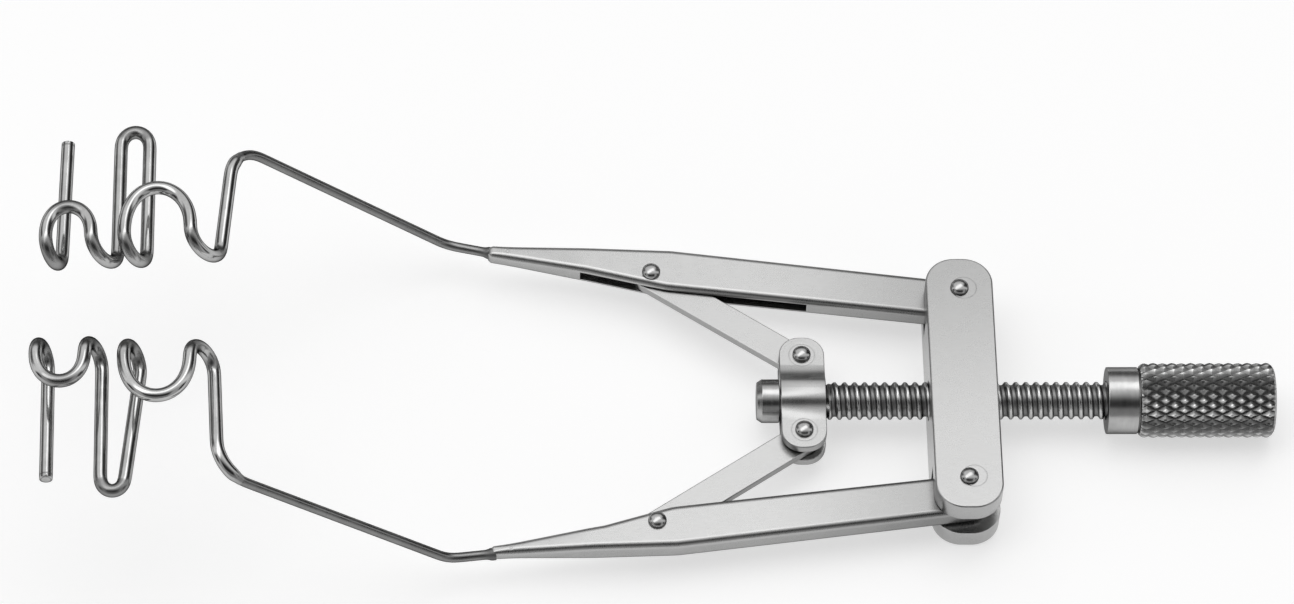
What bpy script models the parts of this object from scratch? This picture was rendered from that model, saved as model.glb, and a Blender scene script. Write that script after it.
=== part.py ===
"""Screw-adjusted wire eye speculum: two hinged arms that carry bent lid wires are spread by a
screw, a sliding yoke and a pair of links.

+X runs along the screw to the knob, +Y across to the upper arm, and +Z up to the side of the
wire arches. The origin is in the middle of the cross bar's underside. Units are metres.
"""
import math

import bmesh
import bpy
from mathutils import Matrix, Vector

MM = 0.001

# Cross bar: a milled block with a fork at each end and a threaded hole in the middle
BAR_LENGTH = 18.6 * MM
BAR_WIDTH = 4.3 * MM
BAR_THICKNESS = 4.64 * MM
BAR_END_RADIUS = 1.85 * MM
BAR_EDGE = 0.12 * MM
PIVOT_SPACING = 14.08 * MM

# Arms: flat bars that taper to the wire, with a slot for the link in the inner edge
ARM_THICKNESS = 1.54 * MM
ARM_ANGLE = math.radians(6.54)
ARM_LENGTH = 30.25 * MM
ARM_KNEE = 18.6 * MM
ARM_ROOT_WIDTH = 2.84 * MM
ARM_KNEE_WIDTH = 3.0 * MM
ARM_KNEE_OFFSET = 0.44 * MM
ARM_WIRE_OFFSET = 0.76 * MM
ARM_THINNING_START = 22.0 * MM
ARM_EDGE = 0.16 * MM
LINK_RIVET_ALONG = 19.68 * MM
LINK_SLOT_START = 9.6 * MM
LINK_SLOT_END = 24.2 * MM
ARM_WEB = 0.42 * MM

# Each arm is ground to its tip by hand. In millimetres: where its inner edge turns towards the
# tip, and how far across and how thick the tip is
UPPER_ARM = {"inner_bend": [23.8, -0.36], "tip": [0.27, 1.1], "tip_thickness": 1.08}
LOWER_ARM = {"inner_bend": [23.0, -0.22], "tip": [0.36, 0.99], "tip_thickness": 0.85}

# Yoke: two pressed straps riveted round the neck of the screw
YOKE_REACH = 10.15 * MM
YOKE_PIVOT_SPACING = 5.58 * MM
STRAP_WIDTH = 2.86 * MM
STRAP_END = 1.31 * MM
STRAP_SHEET = 0.62 * MM
STRAP_GAP = 0.94 * MM

# Links from the yoke to the arms
LINK_THICKNESS = 0.58 * MM
LINK_WIDTH = 2.0 * MM

# Screw and knob
SCREW_DIAMETER = 2.39 * MM
SCREW_PITCH = 0.64 * MM
NECK_DIAMETER = 1.5 * MM
TIP_COLLAR_DIAMETER = 2.77 * MM
TIP_COLLAR_LENGTH = 1.42 * MM
KNOB_REACH = 9.15 * MM
SHOULDER_DIAMETER = 4.26 * MM
SHOULDER_LENGTH = 2.05 * MM
GRIP_DIAMETER = 4.77 * MM
GRIP_LENGTH = 8.6 * MM
KNOB_SOCKET_DEPTH = 4.0 * MM

# Rivets
BAR_RIVET_DIAMETER = 1.0 * MM
LINK_RIVET_DIAMETER = 0.74 * MM
YOKE_RIVET_DIAMETER = 0.8 * MM
RIVET_HEAD_DIAMETER = 1.15 * MM
RIVET_HEAD_HEIGHT = 0.3 * MM

# Lid wires: shank, hooks round the lid edge, arches under the lid and a long loop on the skin
SHANK_DIAMETER = 0.62 * MM
WIRE_DIAMETER = 0.84 * MM
SHANK_BEND_RADIUS = 1.8 * MM
SKIN_HEIGHT = 10.65 * MM
HOOK_RADIUS = 1.15 * MM
HOOK_DEPTH = 1.15 * MM

# Each blade is bent by hand. In millimetres: how far from the bar each leg crosses the lid's
# edge, how near the middle each hook comes, how far out the arches, the loop (its two legs and
# its end) and the bare end reach, and where the shank bends up from the arm and into the blade
UPPER_BLADE = {
    "legs": [46.75, 48.6, 52.7, 51.35, 53.15, 54.75, 57.55, 56.6],
    "hooks": [3.5, 3.1, 3.05, 2.9],
    "arches": [7.65, 6.25],
    "loop": [51.3, 53.1, 13.4],
    "end": [56.42, 12.5],
    "bend": [2.7, 1.08],
    "corner": [46.0, 12.2],
    "corner_radius": 2.2,
    "shank_share": 4,
}
LOWER_BLADE = {
    "legs": [47.05, 48.5, 52.55, 51.6, 53.95, 54.95, 57.95, 57.25],
    "hooks": [3.5, 3.45, 3.27, 3.35],
    "arches": [7.65, 6.6],
    "loop": [52.4, 53.9, 13.1],
    "end": [57.2, 12.25],
    "bend": [2.7, 0.76],
    "corner": [46.75, 11.9],
    "corner_radius": 2.2,
    "shank_share": 1,
}

# Clearances of the running fits
SIDE_CLEARANCE = 0.1 * MM
HOLE_CLEARANCE = 0.06 * MM
BORE_CLEARANCE = 0.1 * MM
OPEN_PIVOT_CLEARANCE = 0.2 * MM
BRAZE_GAP = 0.05 * MM

AXIS_HEIGHT = BAR_THICKNESS / 2
PIVOT_Y = PIVOT_SPACING / 2
YOKE_PIVOT_Y = YOKE_PIVOT_SPACING / 2
RIVET_EDGE = 0.05 * MM
SIDES = 40
RIVET_SIDES = 24


def clear_scene():
    for thing in list(bpy.data.objects):
        bpy.data.objects.remove(thing, do_unlink=True)


def make_collection(name):
    collection = bpy.data.collections.new(name)
    bpy.context.scene.collection.children.link(collection)
    return collection


def steel(name, colour, roughness):
    material = bpy.data.materials.new(name)
    material.use_nodes = True
    shader = material.node_tree.nodes["Principled BSDF"]
    shader.inputs["Base Color"].default_value = (*colour, 1.0)
    shader.inputs["Metallic"].default_value = 1.0
    shader.inputs["Roughness"].default_value = roughness
    return material


def add_object(name, data, collection, material=None, location=(0, 0, 0), rotation=(0, 0, 0)):
    thing = bpy.data.objects.new(name, data)
    collection.objects.link(thing)
    thing.location = location
    thing.rotation_euler = rotation
    if material is not None:
        data.materials.clear()
        data.materials.append(material)
    return thing


def add_empty(name, location, parent=None):
    empty = bpy.data.objects.new(name, None)
    parts.objects.link(empty)
    empty.empty_display_size = 2 * MM
    empty.location = location
    if parent is not None:
        attach(empty, parent)
    return empty


def attach(child, parent):
    """Parents a piece without moving it."""
    bpy.context.view_layer.update()
    child.parent = parent
    child.matrix_parent_inverse = parent.matrix_world.inverted()


def round_corners(corners, radii, closed, steps=6):
    """Points of a polygon or path whose corners are arcs of the given radii."""
    points = []
    count = len(corners)
    for i, corner in enumerate(corners):
        radius = radii[i]
        at_end = not closed and i in (0, count - 1)
        if radius <= 0 or at_end:
            points.append(corner.copy())
            continue
        back = (corners[i - 1] - corner).normalized()
        ahead = (corners[(i + 1) % count] - corner).normalized()
        half = back.angle(ahead) / 2
        setback = radius / math.tan(half)
        start = corner + back * setback
        centre = corner + (back + ahead).normalized() * (radius / math.sin(half))
        axis = back.cross(ahead).normalized()
        turn = math.pi - 2 * half
        spoke = start - centre
        for k in range(steps + 1):
            points.append(centre + Matrix.Rotation(-turn * k / steps, 3, axis) @ spoke)
    return points


def curve_object(name, points, closed, location, collection):
    data = bpy.data.curves.new(name, "CURVE")
    spline = data.splines.new("POLY")
    spline.points.add(len(points) - 1)
    for slot, point in zip(spline.points, points):
        slot.co = (point.x, point.y, point.z, 1.0)
    spline.use_cyclic_u = closed
    return add_object(name, data, collection, location=location)


def to_mesh(curve):
    """Turns a curve object into a mesh object with its caps welded."""
    bpy.context.view_layer.update()
    evaluated = curve.evaluated_get(bpy.context.evaluated_depsgraph_get())
    mesh = bpy.data.meshes.new_from_object(evaluated)
    name = curve.name
    matrix = curve.matrix_world.copy()
    collection = curve.users_collection[0]
    bpy.data.objects.remove(curve, do_unlink=True)
    solid = bmesh.new()
    solid.from_mesh(mesh)
    bmesh.ops.remove_doubles(solid, verts=solid.verts, dist=1e-7)
    bmesh.ops.recalc_face_normals(solid, faces=solid.faces)
    solid.to_mesh(mesh)
    solid.free()
    mesh.name = name
    thing = bpy.data.objects.new(name, mesh)
    collection.objects.link(thing)
    thing.matrix_world = matrix
    return thing


def plate(name, corners, radii, thickness, location, collection, steps=6):
    """A flat plate with rounded corners, centred on its location in height."""
    outline = round_corners([Vector((x, y, 0)) for x, y in corners], radii, True, steps)
    curve = curve_object(name, outline, True, location, collection)
    curve.data.dimensions = "2D"
    curve.data.fill_mode = "BOTH"
    curve.data.extrude = thickness / 2
    return to_mesh(curve)


def wire(name, points, diameter, location, material):
    curve = curve_object(name, points, False, location, parts)
    curve.data.dimensions = "3D"
    curve.data.bevel_depth = diameter / 2
    curve.data.bevel_resolution = 2
    curve.data.use_fill_caps = True
    thing = to_mesh(curve)
    finish(thing, material)
    return thing


def turned(name, profile, location, rotation, material, sides=SIDES):
    """A solid of revolution about local Z; the profile runs down the outer side."""
    mesh = bpy.data.meshes.new(name)
    edges = [(i, i + 1) for i in range(len(profile) - 1)]
    mesh.from_pydata([(radius, 0, height) for radius, height in profile], edges, [])
    thing = add_object(name, mesh, parts, location=location, rotation=rotation)
    turn = thing.modifiers.new("turn", "SCREW")
    turn.axis = "Z"
    turn.steps = sides
    turn.render_steps = sides
    turn.use_merge_vertices = True
    turn.merge_threshold = 1e-7
    turn.use_smooth_shade = True
    mesh.materials.append(material)
    return thing


def finish(thing, material):
    mesh = thing.data
    mesh.materials.clear()
    mesh.materials.append(material)
    mesh.shade_smooth()
    mesh.set_sharp_from_angle(angle=math.radians(35))


def ease_edges(thing, width):
    bevel = thing.modifiers.new("eased edges", "BEVEL")
    bevel.width = width
    bevel.segments = 2
    bevel.limit_method = "ANGLE"
    bevel.angle_limit = math.radians(50)


def pin_cutter(name, radius, length, location, rotation=(0, 0, 0)):
    mesh = bpy.data.meshes.new(name)
    solid = bmesh.new()
    bmesh.ops.create_cone(solid, cap_ends=True, segments=SIDES, radius1=radius, radius2=radius, depth=length)
    solid.to_mesh(mesh)
    solid.free()
    return hide(add_object(name, mesh, cutters, location=location, rotation=rotation))


def hide(cutter):
    cutter.hide_render = True
    cutter.display_type = "WIRE"
    return cutter


def combine(thing, tool, operation="DIFFERENCE"):
    boolean = thing.modifiers.new(tool.name, "BOOLEAN")
    boolean.operation = operation
    boolean.object = tool
    boolean.solver = "EXACT"


def arm_point(along, across, side):
    """Plan position from the arm's pivot: along the arm, and across it away from the screw."""
    x = -along * math.cos(ARM_ANGLE) + across * math.sin(ARM_ANGLE)
    y = along * math.sin(ARM_ANGLE) + across * math.cos(ARM_ANGLE)
    return x, side * y


def make_bar():
    """Cross bar with a fork at each end for an arm and a bore for the screw."""
    half_length = BAR_LENGTH / 2
    half_width = BAR_WIDTH / 2
    corners = [(half_width, -half_length), (half_width, half_length),
               (-half_width, half_length), (-half_width, -half_length)]
    bar = plate("cross_bar", corners, [BAR_END_RADIUS] * 4, BAR_THICKNESS, (0, 0, AXIS_HEIGHT), parts, steps=10)
    ease_edges(bar, BAR_EDGE)
    slot_height = ARM_THICKNESS + 2 * SIDE_CLEARANCE
    slot_floor = PIVOT_Y - ARM_ROOT_WIDTH / 2 - 3 * SIDE_CLEARANCE
    slot_length = half_length - slot_floor + MM
    for side, label in ((1, "upper"), (-1, "lower")):
        slot = bpy.data.meshes.new("fork_slot_" + label)
        block = bmesh.new()
        bmesh.ops.create_cube(block, size=1.0)
        bmesh.ops.scale(block, vec=(BAR_WIDTH + 2 * MM, slot_length, slot_height), verts=block.verts)
        block.to_mesh(slot)
        block.free()
        middle = side * (slot_floor + slot_length / 2)
        combine(bar, hide(add_object("fork_slot_" + label, slot, cutters, location=(0, middle, AXIS_HEIGHT))))
        hole = BAR_RIVET_DIAMETER / 2 + HOLE_CLEARANCE
        place = (0, side * PIVOT_Y, AXIS_HEIGHT)
        combine(bar, pin_cutter("bar_hole_" + label, hole, BAR_THICKNESS + MM, place))
    bore = SCREW_DIAMETER / 2 + BORE_CLEARANCE
    along_x = (0, math.pi / 2, 0)
    combine(bar, pin_cutter("screw_bore", bore, BAR_WIDTH + MM, (0, 0, AXIS_HEIGHT), along_x))
    finish(bar, satin)
    return bar


def thinning_wedge(name, side, face, tip_thickness, location):
    """Cutter that thins an arm towards its tip on its front (face 1) or back (face -1)."""
    start = ARM_THINNING_START
    end = ARM_LENGTH + 2 * MM
    loss = (ARM_THICKNESS - tip_thickness) / 2 * (end - start) / (ARM_LENGTH - start)
    half = ARM_THICKNESS / 2
    profile = [(start, half), (end, half - loss), (end, half + MM), (start, half + MM)]
    points = []
    for across in (-4 * MM, 4 * MM):
        for along, height in profile:
            points.append((*arm_point(along, across, side), face * height))
    faces = [(0, 1, 2, 3), (7, 6, 5, 4), (0, 4, 5, 1), (1, 5, 6, 2), (2, 6, 7, 3), (3, 7, 4, 0)]
    mesh = bpy.data.meshes.new(name)
    mesh.from_pydata(points, [], faces)
    solid = bmesh.new()
    solid.from_mesh(mesh)
    bmesh.ops.recalc_face_normals(solid, faces=solid.faces)
    solid.to_mesh(mesh)
    solid.free()
    return hide(add_object(name, mesh, cutters, location=location))


def make_arm(side, label, shape, pivot):
    """Arm whose inner edge is slotted for the link, so the outer edge is left as a web."""
    root = ARM_ROOT_WIDTH / 2
    root_offset = ARM_KNEE_OFFSET * 0.4
    knee = ARM_KNEE_WIDTH / 2
    bend_along, bend_across = (value * MM for value in shape["inner_bend"])
    tip_inner, tip_outer = (value * MM for value in shape["tip"])
    outline = [
        (-root, root_offset - root),
        (ARM_KNEE, ARM_KNEE_OFFSET - knee),
        (bend_along, bend_across),
        (ARM_LENGTH, tip_inner),
        (ARM_LENGTH, tip_outer),
        (ARM_KNEE, ARM_KNEE_OFFSET + knee),
        (-root, root_offset + root),
    ]
    radii = [root * 0.96, 3 * MM, 3 * MM, 0.2 * MM, 0.2 * MM, 3 * MM, root * 0.96]
    corners = [arm_point(along, across, side) for along, across in outline]
    place = (0, side * PIVOT_Y, AXIS_HEIGHT)
    arm = plate("arm_" + label, corners, radii, ARM_THICKNESS, place, parts, steps=5)
    for face in (1, -1):
        name = "thinning_%s_%d" % (label, face)
        combine(arm, thinning_wedge(name, side, face, shape["tip_thickness"] * MM, place))
    ease_edges(arm, ARM_EDGE)
    outer = ARM_KNEE_OFFSET + knee - ARM_WEB
    slot_outline = [
        (LINK_SLOT_START, -4 * MM),
        (LINK_SLOT_START, outer - 0.2 * MM),
        (ARM_KNEE, outer),
        (LINK_SLOT_END, outer - (LINK_SLOT_END - ARM_KNEE) * 0.115),
        (LINK_SLOT_END, -4 * MM),
    ]
    slot_corners = [arm_point(along, across, side) for along, across in slot_outline]
    slot_radii = [0, 1.2 * MM, 2 * MM, 0.9 * MM, 0]
    slot_height = LINK_THICKNESS + 2 * SIDE_CLEARANCE
    slot = plate("link_slot_" + label, slot_corners, slot_radii, slot_height, place, cutters)
    combine(arm, hide(slot))
    hole = BAR_RIVET_DIAMETER / 2 + HOLE_CLEARANCE
    combine(arm, pin_cutter("arm_pivot_hole_" + label, hole, ARM_THICKNESS + MM, place))
    link_x, link_y = arm_point(LINK_RIVET_ALONG, 0, side)
    rivet_place = (link_x, side * PIVOT_Y + link_y, AXIS_HEIGHT)
    hole = LINK_RIVET_DIAMETER / 2 + HOLE_CLEARANCE
    combine(arm, pin_cutter("arm_link_hole_" + label, hole, ARM_THICKNESS + MM, rivet_place))
    finish(arm, satin)
    attach(arm, pivot)
    return rivet_place


def make_rivet(name, diameter, grip, location, parent, flush=False):
    """Rivet with a domed head on top and a like or a flush one below, through a stack of plates."""
    head = RIVET_HEAD_DIAMETER / 2
    stem = diameter / 2
    seat = grip / 2 + 0.02 * MM
    dome = [(head * math.sin(math.radians(a)), seat + RIVET_HEAD_HEIGHT * (0.25 + 0.75 * math.cos(math.radians(a))))
            for a in (0, 25, 50, 72, 90)]
    profile = dome + [(head, seat), (stem, seat)]
    if flush:
        profile += [(stem, RIVET_EDGE - grip / 2), (stem - RIVET_EDGE, -grip / 2), (0, -grip / 2)]
    else:
        profile += [(stem, -seat), (head, -seat)]
        profile += [(radius, -height) for radius, height in reversed(dome)]
    rivet = turned(name, profile, location, (0, 0, 0), bright, RIVET_SIDES)
    attach(rivet, parent)
    return rivet


def make_link(side, label, arm_rivet, pivot):
    """Flat link, rounded at both ends, from the yoke's rivet to the arm's."""
    start = Vector((-YOKE_REACH, side * YOKE_PIVOT_Y, 0))
    finish_point = Vector((arm_rivet[0], arm_rivet[1], 0))
    run = (finish_point - start).normalized()
    across = Vector((-run.y, run.x, 0))
    length = (finish_point - start).length
    half = LINK_WIDTH / 2
    corners = []
    for along, offset in ((-half, -half), (length + half, -half), (length + half, half), (-half, half)):
        corner = run * along + across * offset
        corners.append((corner.x, corner.y))
    place = (start.x, start.y, AXIS_HEIGHT)
    link = plate("link_" + label, corners, [half * 0.98] * 4, LINK_THICKNESS, place, parts, steps=7)
    hole = YOKE_RIVET_DIAMETER / 2 + HOLE_CLEARANCE
    combine(link, pin_cutter("link_near_hole_" + label, hole, LINK_THICKNESS + MM, place))
    hole = LINK_RIVET_DIAMETER / 2 + OPEN_PIVOT_CLEARANCE
    combine(link, pin_cutter("link_far_hole_" + label, hole, LINK_THICKNESS + MM, arm_rivet))
    finish(link, satin)
    attach(link, pivot)


def make_strap(name, rotation, parent):
    """Pressed strap: two flat ears and a half-round bulge that clasps the neck of the screw."""
    inner = NECK_DIAMETER / 2 + BORE_CLEARANCE
    outer = inner + STRAP_SHEET
    low = STRAP_GAP / 2
    high = low + STRAP_SHEET
    reach = YOKE_PIVOT_Y + STRAP_END + MM
    inner_turn = math.acos(low / inner)
    outer_turn = math.acos(high / outer)
    steps = 8
    section = [Vector((-reach, low, 0))]
    for k in range(steps + 1):
        turn = -inner_turn + 2 * inner_turn * k / steps
        section.append(Vector((inner * math.sin(turn), inner * math.cos(turn), 0)))
    section += [Vector((reach, low, 0)), Vector((reach, high, 0))]
    for k in range(steps + 1):
        turn = outer_turn - 2 * outer_turn * k / steps
        section.append(Vector((outer * math.sin(turn), outer * math.cos(turn), 0)))
    section.append(Vector((-reach, high, 0)))
    curve = curve_object(name, section, True, (-YOKE_REACH, 0, AXIS_HEIGHT), parts)
    curve.data.dimensions = "2D"
    curve.data.fill_mode = "BOTH"
    curve.data.extrude = STRAP_WIDTH / 2 + MM
    strap = to_mesh(curve)
    strap.data.transform(Matrix(((0, 0, 1), (1, 0, 0), (0, 1, 0))).to_4x4())
    half = STRAP_WIDTH / 2
    end = YOKE_PIVOT_Y + STRAP_END
    corners = [(half, -end), (half, end), (-half, end), (-half, -end)]
    place = (-YOKE_REACH, 0, AXIS_HEIGHT)
    blank = plate(name + "_blank", corners, [half * 0.9] * 4, 4 * outer, place, cutters, steps=7)
    combine(strap, hide(blank), "INTERSECT")
    hole = YOKE_RIVET_DIAMETER / 2 + HOLE_CLEARANCE
    for side in (1, -1):
        spot = (-YOKE_REACH, side * YOKE_PIVOT_Y, AXIS_HEIGHT)
        combine(strap, pin_cutter("%s_hole_%d" % (name, side), hole, 4 * outer, spot))
    finish(strap, satin)
    strap.rotation_euler = rotation
    attach(strap, parent)


def make_screw(parent):
    """Screw with the neck that the yoke clasps and the collar that keeps it there."""
    root = SCREW_DIAMETER / 2
    neck = NECK_DIAMETER / 2
    collar = TIP_COLLAR_DIAMETER / 2
    half = STRAP_WIDTH / 2 + SIDE_CLEARANCE / 2
    chamfer = 0.22 * MM
    tip_end = -YOKE_REACH - half - TIP_COLLAR_LENGTH
    thread_end = KNOB_REACH + KNOB_SOCKET_DEPTH - BORE_CLEARANCE
    profile = [
        (0, thread_end),
        (root - chamfer, thread_end),
        (root, thread_end - chamfer),
        (root, chamfer - YOKE_REACH + half),
        (root - chamfer, -YOKE_REACH + half),
        (neck, -YOKE_REACH + half),
        (neck, -YOKE_REACH - half),
        (collar - chamfer / 2, -YOKE_REACH - half),
        (collar, -YOKE_REACH - half - chamfer / 2),
        (collar, tip_end + chamfer),
        (collar - chamfer, tip_end),
        (0, tip_end),
    ]
    screw = turned("screw", profile, (0, 0, AXIS_HEIGHT), (0, math.pi / 2, 0), dark)
    attach(screw, parent)


def make_knob(parent):
    """Knob with a plain shoulder and a straight grip, socketed on the end of the screw."""
    shoulder = SHOULDER_DIAMETER / 2
    grip = GRIP_DIAMETER / 2
    socket = SCREW_DIAMETER / 2 + HOLE_CLEARANCE
    grip_start = KNOB_REACH + SHOULDER_LENGTH
    end = grip_start + GRIP_LENGTH
    edge = 0.15 * MM
    chamfer = 0.32 * MM
    profile = [
        (0, end),
        (grip - chamfer, end),
        (grip, end - chamfer),
        (grip, grip_start + chamfer),
        (grip - chamfer, grip_start),
        (shoulder, grip_start),
        (shoulder, KNOB_REACH + edge),
        (shoulder - edge, KNOB_REACH),
        (socket, KNOB_REACH),
        (socket, KNOB_REACH + KNOB_SOCKET_DEPTH),
        (0, KNOB_REACH + KNOB_SOCKET_DEPTH),
    ]
    knob = turned("knob", profile, (0, 0, AXIS_HEIGHT), (0, math.pi / 2, 0), dark)
    attach(knob, parent)


def hook(x_from, x_to, inner_y, rising, steps=7):
    """Half turn round the lid's edge, between the skin side and the side under the lid."""
    points = []
    for k in range(1, steps):
        turn = math.pi * k / steps
        x = x_from + (x_to - x_from) * (1 - math.cos(turn)) / 2
        lift = -math.cos(turn) if rising else math.cos(turn)
        points.append((x, inner_y + HOOK_DEPTH * (1 - math.sin(turn)), lift * HOOK_RADIUS))
    return points


def arch(x_from, x_to, y_from, y_to, reach, steps=9):
    """Round arch under the lid, out from one hook and back to the next."""
    middle = (x_from + x_to) / 2
    half = (x_from - x_to) / 2
    points = []
    for k in range(steps + 1):
        turn = math.pi * k / steps
        base_y = y_from + (y_to - y_from) * k / steps
        y = base_y + (reach - base_y) * math.sin(turn) ** 0.85
        points.append((middle + half * math.cos(turn), y, HOOK_RADIUS))
    return points


def loop(x_from, x_to, y_from, y_to, far_from, far_to, reach, steps=7):
    """Long narrow loop on the skin with a round end, from one hook to the next."""
    middle = (far_from + far_to) / 2
    half = (far_from - far_to) / 2
    bend_y = reach - abs(half) * 1.25
    points = [(x_from, y_from, -HOOK_RADIUS), ((x_from + far_from) / 2, (y_from + bend_y) / 2, -HOOK_RADIUS)]
    for k in range(steps + 1):
        turn = math.pi * k / steps
        y = bend_y + (reach - bend_y) * math.sin(turn)
        points.append((middle + half * math.cos(turn), y, -HOOK_RADIUS))
    points += [((x_to + far_to) / 2, (y_to + bend_y) / 2, -HOOK_RADIUS), (x_to, y_to, -HOOK_RADIUS)]
    return points


def blade_points(blade):
    """One blade from its first leg to its bare end, with heights measured from the hooks' middle."""
    x = [-leg * MM for leg in blade["legs"]]
    inner = [value * MM for value in blade["hooks"]]
    base = [value + HOOK_DEPTH for value in inner]
    reach = [value * MM for value in blade["arches"]]
    far_from, far_to, loop_reach = (value * MM for value in blade["loop"])
    end_x, end_y = (value * MM for value in blade["end"])
    points = [(x[0], base[0], -HOOK_RADIUS)]
    points += hook(x[0], x[1], inner[0], True)
    points += arch(x[1], x[2], base[0], base[1], reach[0])
    points += hook(x[2], x[3], inner[1], False)
    points += loop(x[3], x[4], base[1], base[2], -far_from, -far_to, loop_reach)
    points += hook(x[4], x[5], inner[2], True)
    points += arch(x[5], x[6], base[2], base[3], reach[1])
    points += hook(x[6], x[7], inner[3], False)
    points += [(x[7], base[3], -HOOK_RADIUS), (-end_x, end_y, -HOOK_RADIUS)]
    return points


def make_wires(side, label, blade, pivot):
    """Shank brazed to the arm's tip, and the lid wire brazed to the shank."""
    origin = Vector((0, side * PIVOT_Y, AXIS_HEIGHT))
    tip = Vector((*arm_point(ARM_LENGTH + BRAZE_GAP, ARM_WIRE_OFFSET, side), 0))
    bend_run, bend_offset = (value * MM for value in blade["bend"])
    corner_x, corner_y = (value * MM for value in blade["corner"])
    bend = Vector((*arm_point(ARM_LENGTH + bend_run, bend_offset, side), 0))
    corner = Vector((-corner_x, side * (corner_y - PIVOT_Y), SKIN_HEIGHT + 0.3 * MM))
    hooks = SKIN_HEIGHT + HOOK_RADIUS
    lid_path = [Vector((x, side * (y - PIVOT_Y), z + hooks)) for x, y, z in blade_points(blade)]
    bent = round_corners([bend, corner, lid_path[0]], [0, blade["corner_radius"] * MM, 0], False, 8)
    share = blade["shank_share"] + 1
    shank_path = round_corners([tip, bend, bent[1]], [0, SHANK_BEND_RADIUS, 0], False, 6) + bent[2:share]
    braze = bent[share - 1] + (bent[share] - bent[share - 1]).normalized() * BRAZE_GAP
    attach(wire("shank_" + label, shank_path, SHANK_DIAMETER, origin, dark), pivot)
    attach(wire("lid_wire_" + label, [braze] + bent[share:] + lid_path[1:], WIRE_DIAMETER, origin, bright), pivot)


clear_scene()
parts = make_collection("eye_speculum")
cutters = make_collection("cutters")
satin = steel("satin steel", (0.62, 0.62, 0.62), 0.34)
bright = steel("polished steel", (0.7, 0.7, 0.7), 0.14)
dark = steel("turned steel", (0.42, 0.42, 0.42), 0.25)

bar = make_bar()
yoke = add_empty("yoke_slide", (-YOKE_REACH, 0, AXIS_HEIGHT))
spindle = add_empty("screw_turn", (0, 0, AXIS_HEIGHT), yoke)
make_strap("strap_front", (0, 0, 0), yoke)
make_strap("strap_rear", (math.pi, 0, 0), yoke)
make_screw(spindle)
make_knob(spindle)

for side, label, shape, blade in ((1, "upper", UPPER_ARM, UPPER_BLADE), (-1, "lower", LOWER_ARM, LOWER_BLADE)):
    arm_pivot = add_empty("arm_pivot_" + label, (0, side * PIVOT_Y, AXIS_HEIGHT))
    link_pivot = add_empty("link_pivot_" + label, (-YOKE_REACH, side * YOKE_PIVOT_Y, AXIS_HEIGHT), yoke)
    arm_rivet = make_arm(side, label, shape, arm_pivot)
    make_link(side, label, arm_rivet, link_pivot)
    make_wires(side, label, blade, arm_pivot)
    bar_rivet = (0, side * PIVOT_Y, AXIS_HEIGHT)
    yoke_rivet = (-YOKE_REACH, side * YOKE_PIVOT_Y, AXIS_HEIGHT)
    make_rivet("bar_rivet_" + label, BAR_RIVET_DIAMETER, BAR_THICKNESS, bar_rivet, bar, True)
    make_rivet("arm_rivet_" + label, LINK_RIVET_DIAMETER, ARM_THICKNESS, arm_rivet, arm_pivot)
    make_rivet("yoke_rivet_" + label, YOKE_RIVET_DIAMETER, STRAP_GAP + 2 * STRAP_SHEET, yoke_rivet, yoke)
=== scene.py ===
"""Looks of the screw-adjusted wire eye speculum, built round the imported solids.

Every piece is made again with its fine forms (thread, knurl, eased edges, smooth bent wires,
brazed joints) in the place of its solid, and rides on that solid's body.
"""

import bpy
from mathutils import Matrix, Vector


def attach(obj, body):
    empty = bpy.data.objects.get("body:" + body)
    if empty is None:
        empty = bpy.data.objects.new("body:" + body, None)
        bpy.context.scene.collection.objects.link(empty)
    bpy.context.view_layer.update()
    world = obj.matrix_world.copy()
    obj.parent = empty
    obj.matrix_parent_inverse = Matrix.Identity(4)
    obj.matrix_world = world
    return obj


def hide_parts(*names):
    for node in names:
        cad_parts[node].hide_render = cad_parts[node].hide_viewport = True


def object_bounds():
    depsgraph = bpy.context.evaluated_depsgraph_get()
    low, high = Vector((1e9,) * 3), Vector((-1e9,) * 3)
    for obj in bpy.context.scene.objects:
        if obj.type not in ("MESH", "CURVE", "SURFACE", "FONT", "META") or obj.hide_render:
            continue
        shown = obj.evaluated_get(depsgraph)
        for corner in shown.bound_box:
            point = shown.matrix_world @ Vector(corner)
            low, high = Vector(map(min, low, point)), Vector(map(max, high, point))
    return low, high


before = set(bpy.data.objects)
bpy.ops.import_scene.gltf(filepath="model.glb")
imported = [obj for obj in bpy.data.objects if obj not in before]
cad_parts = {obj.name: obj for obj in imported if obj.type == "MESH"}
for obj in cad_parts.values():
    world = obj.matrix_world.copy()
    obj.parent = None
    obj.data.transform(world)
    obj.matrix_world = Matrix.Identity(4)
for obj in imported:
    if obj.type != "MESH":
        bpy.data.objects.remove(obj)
cad_box = [list(corner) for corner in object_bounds()]

import math

import bmesh
import bpy
from mathutils import Matrix, Vector

MM = 0.001

# Cross bar
BAR_LENGTH = 18.6 * MM
BAR_WIDTH = 4.3 * MM
BAR_THICKNESS = 4.64 * MM
BAR_END_RADIUS = 1.85 * MM
BAR_EDGE = 0.13 * MM
# Edges of slots and holes
CUT_EDGE = 0.03 * MM
PIVOT_SPACING = 14.08 * MM

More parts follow.
